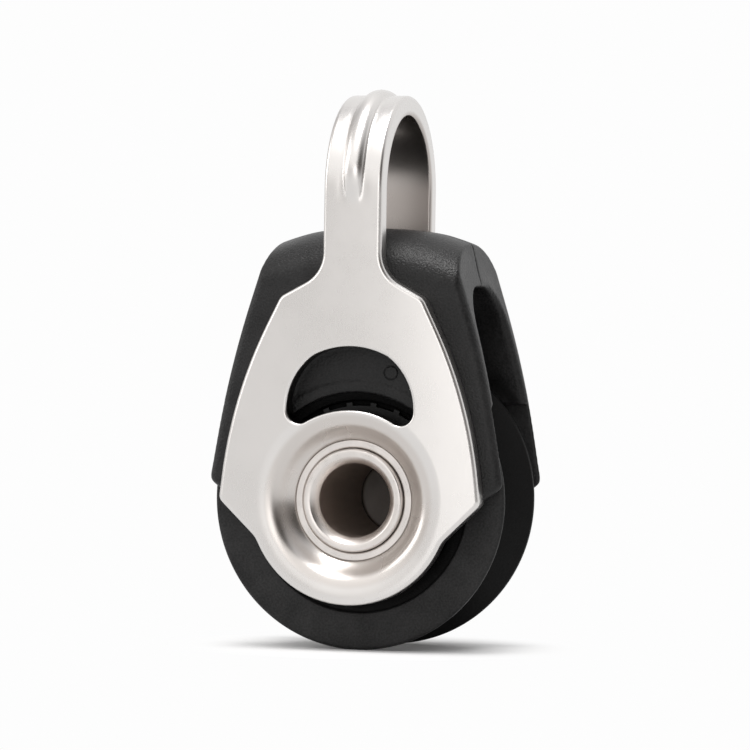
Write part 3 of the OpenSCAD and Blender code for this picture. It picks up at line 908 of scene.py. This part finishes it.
def cheek_body(c, name, material):
    """The front cheek before its cuts: outer face, rounded sides and rolled crown."""
    crown = CHEEK_HIGH[2]
    middle = crown - c.crown_radius
    outline = cheek_outline(c)
    centre, count, below = (0.0, 9 * MM), 440, 20 * MM
    ways = [(math.cos(TURN * i / count), math.sin(TURN * i / count)) for i in range(count)]
    sides = [reach_at(outline, centre, w) for w in ways]
    arch = arc((0, middle), c.crown_radius, 0, math.pi, 128)
    arch += [(-c.crown_radius, middle - below), (c.crown_radius, middle - below)]
    crowns = [reach_at(arch, centre, w) for w in ways]
    plain = [min(a, b) for a, b in zip(sides, crowns)]
    line = [(centre[0] + w[0] * r, centre[1] + w[1] * r) for w, r in zip(ways, plain)]
    normals = left_normals(line, True)
    face = plate_inner()
    depths = [depth for _, depth in quarter_round(c.edge, 8)]
    depths += [c.edge + (c.roll_depth - c.edge) * i / 12 for i in range(1, 13)] + [face]
    body = Surface()
    rows = []
    for depth in depths:
        inset = c.edge * quarter(depth / c.edge)
        drop = c.roll_drop * quarter(depth / c.roll_depth)
        shrunk = moved_out(line, normals, inset)
        ridge = crown + c.roll_lift - drop - c.roll_radius
        rows.append(body.row([
            (x, depth - face, min(z, ridge + math.sqrt(c.roll_radius ** 2 - x * x)))
            for x, z in shrunk]))
    body.skin(rows)
    body.close_ends(rows)
    return body.piece(name, material)


def plate_inner():
    """Distance of the strap's inner faces from the middle of the block."""
    s = bpy.context.scene.pulley_block.strap
    return STRAP_HIGH[1] - s.bead_height - s.thickness


def prism(outline, low, high):
    """A straight cutter from an outline, along the axle."""
    body = Surface()
    rows = [body.row([(x, y, z) for x, z in outline]) for y in (low, high)]
    body.skin(rows)
    body.close_ends(rows)
    return body.piece("cutter", None)


def ring_outline(radius):
    """A circle about the axle."""
    return arc((0, 0), radius, 0, TURN, 180)[:-1]


def cut(target, cutter):
    """Cuts one solid with another and throws the cutter away."""
    change = target.modifiers.new("cut", "BOOLEAN")
    change.object = cutter
    change.operation = "DIFFERENCE"
    change.solver = "EXACT"
    apply_modifiers(target)
    bpy.data.objects.remove(cutter)


def apply_modifiers(target):
    """Turns the modifiers' result into the mesh itself."""
    bpy.context.view_layer.update()
    shown = target.evaluated_get(bpy.context.evaluated_depsgraph_get())
    mesh = bpy.data.meshes.new_from_object(shown)
    target.modifiers.clear()
    target.data = mesh


def slot_outline(c):
    """The line slot's section: (along the axle, up), open below for the sheave."""
    low, top, below = CHEEK_INNER - 0.3 * MM, CHEEK_INNER - 1.15 * MM, -40 * MM
    return rounded(mirrored([(top, SLOT_TOP, c.slot_round), (low, c.slot_step, 0),
                             (CHEEK_INNER, c.slot_step, 0), (CHEEK_INNER, below, 0)]), 16)


def half_width(outline, z):
    """Half width of an outline at a height."""
    return max(ax + (bx - ax) * (z - az) / (bz - az)
               for (ax, az), (bx, bz) in zip(outline, outline[1:] + outline[:1])
               if (az > z) != (bz > z))


def slot_cutter(c):
    """The line slot's cutter, flared where the slot comes out of the cheeks' sides."""
    step, lowest, highest = 0.7 * MM, 2 * MM, 23 * MM
    flare_foot, flare_rise = 3 * MM, 15 * MM
    line = resampled(slot_outline(c), step, True)
    normals = left_normals(line, True)
    outline = cheek_outline(c)
    wide = [half_width(outline, min(max(z, lowest), highest)) for _, z in line]
    upper = [min(max((z - flare_foot) / flare_rise, 0), 1) if y > 0
             else float(z > c.slot_step - SUPPORT) for y, z in line]
    body = Surface()
    rows = []
    steps = 8
    for side in (1, -1):
        flare = [math.pi / 2 * i / steps for i in range(steps + 1)]
        for a in flare if side > 0 else reversed(flare):
            row = []
            for (y, z), n, w, u in zip(line, normals, wide, upper):
                flare_wide, flare_deep = 0.35 + 0.45 * u, 0.4 + 0.3 * u
                out = flare_wide * (1 - math.sin(a)) * MM
                into = flare_deep * (1 - math.cos(a)) * MM - SUPPORT
                row.append((side * (w - into), y + n.x * out, z + n.y * out))
            rows.append(body.row(row))
    ends = [body.row([(x, *body.points[i].yz) for i in rows[k]])
            for x, k in ((PAST_CHEEK, 0), (-PAST_CHEEK, -1))]
    rows = [ends[0], *rows, ends[1]]
    body.skin(rows)
    body.close_ends(rows)
    return body.piece("cutter", None)


def rim_cutter(c):
    """Thins the rim of the front cheek beside the sheave, from the slot's step down."""
    wide, rim_cover = PAST_CHEEK, 0.6 * MM
    made = prism([(-wide, -wide), (wide, -wide), (wide, c.slot_step), (-wide, c.slot_step)],
                 -CHEEK_INNER - c.rim_relief, -CHEEK_INNER + 1 * MM)
    cut(made, prism(ring_outline(SHEAVE_HIGH[0] - rim_cover), -CHEEK_INNER - 2 * MM, 0))
    return made


def pocket_cutter(c, face):
    """The pocket behind the window, with a cove round its floor and a raised lip in it."""
    body = Surface()
    rows = [body.row([(x, face - 1 * MM, z) for x, z in window_outline(POCKET_MARGIN)])]
    for short, inset in quarter_round(c.cove, 6):
        rows.append(body.row([(x, face + c.pocket - short, z)
                              for x, z in window_outline(POCKET_MARGIN - inset)]))
    body.skin(rows)
    body.close_ends(rows)
    made = body.piece("cutter", None)
    cut(made, prism(ring_outline(c.lip), face + c.pocket - c.lip_height, face + 3 * MM))
    return made


def front_cheek(c, material):
    """The front cheek with its cuts, before its edges are softened."""
    face = -plate_inner()
    made = cheek_body(c, "cheek_front", material)
    cut(made, slot_cutter(c))
    rim, cone_wide, cone_deep = SHEAVE_HIGH[0] + 0.5 * MM, 3 * MM, 1.2 * MM
    cut(made, lathe([(0, -CHEEK_INNER), (rim, -CHEEK_INNER),
                     (rim + cone_wide, cone_deep - CHEEK_INNER), (rim + cone_wide, 1 * MM),
                     (0, 1 * MM)], "cutter", None, 180))
    cut(made, rim_cutter(c))
    cut(made, pocket_cutter(c, face))
    cut(made, prism(ring_outline(c.lip), face - 1 * MM, face + c.pocket - c.lip_height))
    cut(made, prism(ring_outline(c.opening), face - 1 * MM, 1 * MM))
    return made


def soften(target, size):
    """Rounds all edges a little, as moulded plastic has them."""
    remesh = target.modifiers.new("soften", "REMESH")
    remesh.mode = "VOXEL"
    remesh.voxel_size = size
    remesh.use_smooth_shade = True
    apply_modifiers(target)
    smooth = target.modifiers.new("smooth", "SMOOTH")
    smooth.factor = 0.5
    smooth.iterations = 10
    apply_modifiers(target)


def moulding_mark(c, target):
    """Cuts the fine ring that the mould leaves in the pocket."""
    across, up, inner, outer, deep = 3.45 * MM, 12.75 * MM, 0.63 * MM, 0.75 * MM, 0.1 * MM
    floor = c.pocket - plate_inner()
    above, below = floor - 0.3 * MM, floor + deep
    ring = lathe([(inner, above), (outer, above), (outer, below), (inner, below)], "cutter",
                 None, 48)
    ring.data.transform(Matrix.Translation((across, 0, up)))
    cut(target, ring)


class BLOCK_OT_cheeks(Operator):
    """Builds the two moulded cheeks"""

    bl_idname = "block.cheeks"
    bl_label = "Cheeks"

    def execute(self, context):
        settings = context.scene.pulley_block
        c = settings.cheeks
        material = moulded_black("cheek_plastic", settings.finishes.cheek, low=0.35, high=0.44,
                                 relief=0.07 * MM)
        front = front_cheek(c, material)
        soften(front, c.soft)
        moulding_mark(c, front)
        back = bpy.data.objects.new("cheek_back", front.data.copy())
        context.scene.collection.objects.link(back)
        back.data.transform(Matrix.Scale(-1, 4, (0, 1, 0)))
        back.data.flip_normals()
        for made, node in ((front, "front_cheek"), (back, "back_cheek")):
            made.data.materials.clear()
            made.data.materials.append(material)
            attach(made, "block")
            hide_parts(node)
        return {"FINISHED"}


# Sheave


def sheave_profile(s):
    """Half of the sheave's section, from its middle inside to its middle outside."""
    radius, flange = SHEAVE_HIGH[:2]
    mouth = flange - s.rim_land
    half_floor = s.floor_width / 2
    recess = flange - s.recess_depth
    cage_gap = 0.25 * MM
    counter = CAGE_HIGH[0] + cage_gap
    seat_end, track_foot, track_top = 4.85 * MM, 1.9 * MM, 3.1 * MM
    middle = s.track - 0.5 * MM
    r = s.rim_round
    rim = arc((radius - r, flange - r), r, math.pi / 2, 0, 6)
    soft = 0.12 * MM
    return [(middle, 0), (middle, track_foot), (s.track, track_top),
            (s.track, seat_end - soft), (s.track + soft, seat_end), (counter - soft, seat_end),
            (counter, seat_end + soft), (counter, recess - soft), (counter + soft, recess),
            (s.recess - soft * 2, recess), (s.recess - soft * 0.6, recess + soft * 0.6),
            (s.recess, recess + soft * 2), (s.recess, flange - soft),
            (s.recess + soft * 0.3, flange - soft * 0.3), (s.recess + soft, flange),
            (s.recess + soft + SUPPORT, flange), (radius - r - SUPPORT, flange), *rim,
            (radius, mouth + 0.15 * MM), (radius - 0.05 * MM, mouth + 0.04 * MM),
            (radius - 0.15 * MM, mouth), (radius - 0.2 * MM, mouth - 0.03 * MM),
            *[(s.floor + up * MM, half_floor + out * MM) for up, out in GROOVE_CORNER]]


class BLOCK_OT_sheave(Operator):
    """Builds the sheave"""

    bl_idname = "block.sheave"
    bl_label = "Sheave"

    def execute(self, context):
        settings = context.scene.pulley_block
        half = sheave_profile(settings.sheave)
        section = half + [(r, -y) for r, y in reversed(half[1:])]
        sharp_turn = math.radians(50)
        # The sheave's groove gets painted shade, a quarter of its colour
        made = lathe(section, "wheel",
                     moulded_black("sheave_plastic", settings.finishes.sheave, low=0.5, high=0.6,
                                   relief=0.04 * MM, gloss=0.14, groove_shade=0.25),
                     sharp=sharp_turn)
        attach(made, "sheave")
        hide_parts("sheave")
        return {"FINISHED"}


# Hub


def axle_profile(h):
    """The hollow axle's section, from the bore's floor round to the closed back end."""
    outer, end = TUBE_HIGH[:2]
    r, soft, centre_hole = h.edge, 0.06 * MM, 0.6 * MM
    mouth = outer - r - h.end_land
    front = arc((outer - r, -end + r), r, -math.pi / 2, 0, 6)
    back = arc((outer - r, end - r), r, 0, math.pi / 2, 6)
    floor = end - h.countersink
    return [(0, floor), (h.bore - 0.25 * MM, floor), (h.bore - 0.07 * MM, floor - 0.07 * MM),
            (h.bore, floor - 0.25 * MM), (h.bore, -end + h.countersink + soft),
            (h.bore + soft, -end + h.countersink - soft), (mouth - soft, -end + soft),
            (mouth + soft, -end), *front, *back, (centre_hole + soft, end),
            (centre_hole - soft, end - soft), (0, end - 0.35 * MM)]


def ring_profile(h):
    """A front hub ring's section, both rims eased."""
    outer, inner, e, m = RING_HIGH[0], h.ring_bore, h.ring_edge, h.ring_mouth
    low, high = RING_LOW[1], RING_HIGH[1]
    return [(inner, low + m * 1.6), (inner + m * 0.3, low + m * 0.5), (inner + m, low),
            (inner + m + SUPPORT, low), (outer - e - SUPPORT, low), (outer - e, low),
            (outer - e * 0.3, low + e * 0.3), (outer, low + e), (outer, high - e),
            (outer - e, high), (inner + e, high), (inner, high - e)]


class BLOCK_OT_hub(Operator):
    """Builds the hollow axle and the two hub rings"""

    bl_idname = "block.hub"
    bl_label = "Hub"

    def execute(self, context):
        settings = context.scene.pulley_block
        h = settings.hub
        metal = turned_metal(settings.finishes)
        ring = ring_profile(h)
        for profile, name, node in ((axle_profile(h), "axle", "hub_tube"),
                                    (ring, "ring_front", "front_hub_ring"),
                                    ([(r, -y) for r, y in ring], "ring_back", "back_hub_ring")):
            made = lathe(profile, name, metal, sharp=math.radians(60))
            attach(made, "block")
            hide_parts(node)
        return {"FINISHED"}


# Bearing


class BLOCK_OT_bearing(Operator):
    """Gives the inner race, the cages and the balls their finishes"""

    bl_idname = "block.bearing"
    bl_label = "Bearing"

    def execute(self, context):
        look = context.scene.pulley_block.finishes
        finishes = {
            "race_steel": turned_metal(look, "ground_race", low=0.12, high=0.2),
            "cage_plastic": moulded_black("cage_plastic", look.cage, low=0.34, high=0.44,
                                          relief=0.006 * MM),
            "ball_plastic": polished_balls(look),
        }
        slots = {row["node"]: row["material_slot"] for row in frame["record"]["subparts"]}
        for node, slot in slots.items():
            if slot in finishes:
                mesh = frame["nodes"][node].data
                mesh.materials.clear()
                mesh.materials.append(finishes[slot])
        return {"FINISHED"}


# Studio


def aimed_light(name, place, size, power, tone=(1, 1, 1)):
    """A softbox aimed at the block."""
    light = bpy.data.lights.new(name, "AREA")
    light.shape = "RECTANGLE"
    light.size, light.size_y = size
    light.energy = power
    light.color = tone
    lamp = bpy.data.objects.new(name, light)
    lamp.location = place
    middle_z = 12 * MM
    aim = Vector((0, 0, middle_z)) - Vector(place)
    lamp.rotation_mode = "QUATERNION"
    lamp.rotation_quaternion = aim.to_track_quat("-Z", "Y")
    bpy.context.scene.collection.objects.link(lamp)


def at(distance, azimuth, elevation):
    """A place in the studio by its distance and angles in degrees from the hub."""
    a, e = math.radians(azimuth), math.radians(elevation)
    return (distance * math.sin(a) * math.cos(e), -distance * math.cos(a) * math.cos(e),
            distance * math.sin(e))


def light_paths(n):
    """1 for a camera ray, and 1 for a glossy or a transmission ray."""
    path = n.new("ShaderNodeLightPath")
    bounced = n.math("MAXIMUM", path.outputs["Is Glossy Ray"],
                     path.outputs["Is Transmission Ray"])
    return path.outputs["Is Camera Ray"], bounced


def toward(n, direction, azimuth, elevation, inner, outer):
    """1 within the inner angle of a direction in the studio, 0 outside the outer one."""
    dot = n.new("ShaderNodeVectorMath")
    dot.operation = "DOT_PRODUCT"
    n.put(dot.inputs[0], direction)
    n.put(dot.inputs[1], at(1, azimuth, elevation))
    return n.above(dot.outputs["Value"], math.cos(math.radians(outer)),
                   math.cos(math.radians(inner)))


def make_world(s):
    """White backdrop behind the block, and a dim warm room with pale walls before it."""
    world = bpy.data.worlds.new("studio")
    world.use_nodes = True
    n = Nodes(world.node_tree)
    direction = n.new("ShaderNodeTexCoord").outputs["Generated"]
    room = s.room
    for *area, tone in ROOM_AREAS:
        room = n.tint(toward(n, direction, *area), room, tone)
    camera, bounced = light_paths(n)
    white = n.math("MAXIMUM", camera, n.product(bounced, toward(n, direction, *BACKDROP)))
    n.put(n.tree.nodes["Background"].inputs["Color"], n.tint(white, room, s.white))
    bpy.context.scene.world = world


def make_floor(s):
    """The pale floor, which keeps the block's shadow and is plain white far away."""
    half, paper_white = 3.0, 0.75
    mesh = bpy.data.meshes.new("floor")
    mesh.from_pydata([(x, y, FLOOR_Z) for x, y in
                      ((-half, -half), (half, -half), (half, half), (-half, half))],
                     [], [(0, 1, 2, 3)])
    floor = bpy.data.objects.new("floor", mesh)
    bpy.context.scene.collection.objects.link(floor)
    material = bpy.data.materials.new("floor_paper")
    material.use_nodes = True
    n = Nodes(material.node_tree)
    paper = n.tree.nodes["Principled BSDF"]
    paper.inputs["Base Color"].default_value = (paper_white, paper_white, paper_white, 1)
    paper.inputs["Roughness"].default_value = 0.9
    paper.inputs["Specular IOR Level"].default_value = 0.0
    seen = n.math("MAXIMUM", *light_paths(n))
    glow = n.new("ShaderNodeEmission")
    n.put(glow.inputs["Strength"], n.product(seen, s.floor_glow))
    near = n.new("ShaderNodeAddShader")
    n.put(near.inputs[0], paper.outputs[0])
    n.put(near.inputs[1], glow.outputs[0])
    plain = n.new("ShaderNodeEmission")
    plain.inputs["Color"].default_value = (*s.white, 1)
    n.put(plain.inputs["Strength"], seen)
    distance = n.new("ShaderNodeVectorMath")
    distance.operation = "LENGTH"
    n.put(distance.inputs[0], n.new("ShaderNodeTexCoord").outputs["Object"])
    far = n.above(distance.outputs["Value"], s.floor_near, s.floor_far)
    mix = n.new("ShaderNodeMixShader")
    n.put(mix.inputs[0], n.product(far, seen))
    n.put(mix.inputs[1], near.outputs[0])
    n.put(mix.inputs[2], plain.outputs[0])
    n.put(n.tree.nodes["Material Output"].inputs["Surface"], mix.outputs[0])
    mesh.materials.append(material)


def make_camera(s):
    """The camera where the photograph was taken."""
    a, e = s.azimuth, s.elevation
    back = Vector((math.sin(a) * math.cos(e), -math.cos(a) * math.cos(e), math.sin(e)))
    right = Vector((math.cos(a), math.sin(a), 0))
    up = back.cross(right)
    place = right * s.aside + up * s.aim + back * s.distance
    leaned_right = right * math.cos(s.roll) + up * math.sin(s.roll)
    leaned_up = up * math.cos(s.roll) - right * math.sin(s.roll)
    camera = bpy.data.objects.new("camera", bpy.data.cameras.new("camera"))
    camera.matrix_world = Matrix((leaned_right, leaned_up, back)).transposed().to_4x4()
    camera.location = place
    camera.data.sensor_width = SENSOR_WIDTH
    camera.data.lens = s.lens
    camera.data.clip_start = 0.01
    bpy.context.scene.collection.objects.link(camera)
    bpy.context.scene.camera = camera


class BLOCK_OT_studio(Operator):
    """Builds the camera, the floor, the lights and the world"""

    bl_idname = "block.studio"
    bl_label = "Studio"

    def execute(self, context):
        s = context.scene.pulley_block.studio
        make_camera(s)
        make_floor(s)
        make_world(s)
        aimed_light("overhead_softbox", at(0.5, -6, 79), size=(0.15, 0.27), power=1.9,
                    tone=(1, 0.99, 0.98))
        aimed_light("left_softbox", at(0.6, -70, 24), size=(0.3, 0.4), power=0.7)
        context.scene.view_settings.view_transform = "Standard"
        return {"FINISHED"}


class BLOCK_PT_panel(Panel):
    """Lists the block's parts in the sidebar"""

    bl_idname = "BLOCK_PT_panel"
    bl_label = "Pulley Block"
    bl_space_type = "VIEW_3D"
    bl_region_type = "UI"
    bl_category = "Pulley Block"

    def draw(self, context):
        settings = context.scene.pulley_block
        for group in (settings.strap, settings.cheeks, settings.sheave, settings.hub,
                      settings.finishes, settings.studio):
            box = self.layout.box()
            box.label(text=type(group).__name__)
            for name in type(group).__annotations__:
                box.prop(group, name)
        for operator in OPERATORS:
            self.layout.operator(operator.bl_idname)


GROUPS = (StrapSizes, CheekSizes, SheaveSizes, HubSizes, Finishes, StudioSettings, BlockSettings)
OPERATORS = (BLOCK_OT_studio, BLOCK_OT_strap, BLOCK_OT_cheeks, BLOCK_OT_sheave, BLOCK_OT_hub,
             BLOCK_OT_bearing)


def register():
    """Adds the classes and the settings to Blender."""
    for part in (*GROUPS, *OPERATORS, BLOCK_PT_panel):
        bpy.utils.register_class(part)
    bpy.types.Scene.pulley_block = PointerProperty(type=BlockSettings)


def unregister():
    """Takes them out again."""
    del bpy.types.Scene.pulley_block
    for part in reversed((*GROUPS, *OPERATORS, BLOCK_PT_panel)):
        bpy.utils.unregister_class(part)


def main():
    """Builds everything."""
    register()
    for build in (bpy.ops.block.studio, bpy.ops.block.strap, bpy.ops.block.cheeks,
                  bpy.ops.block.sheave, bpy.ops.block.hub, bpy.ops.block.bearing):
        build()


if __name__ == "__main__":
    main()
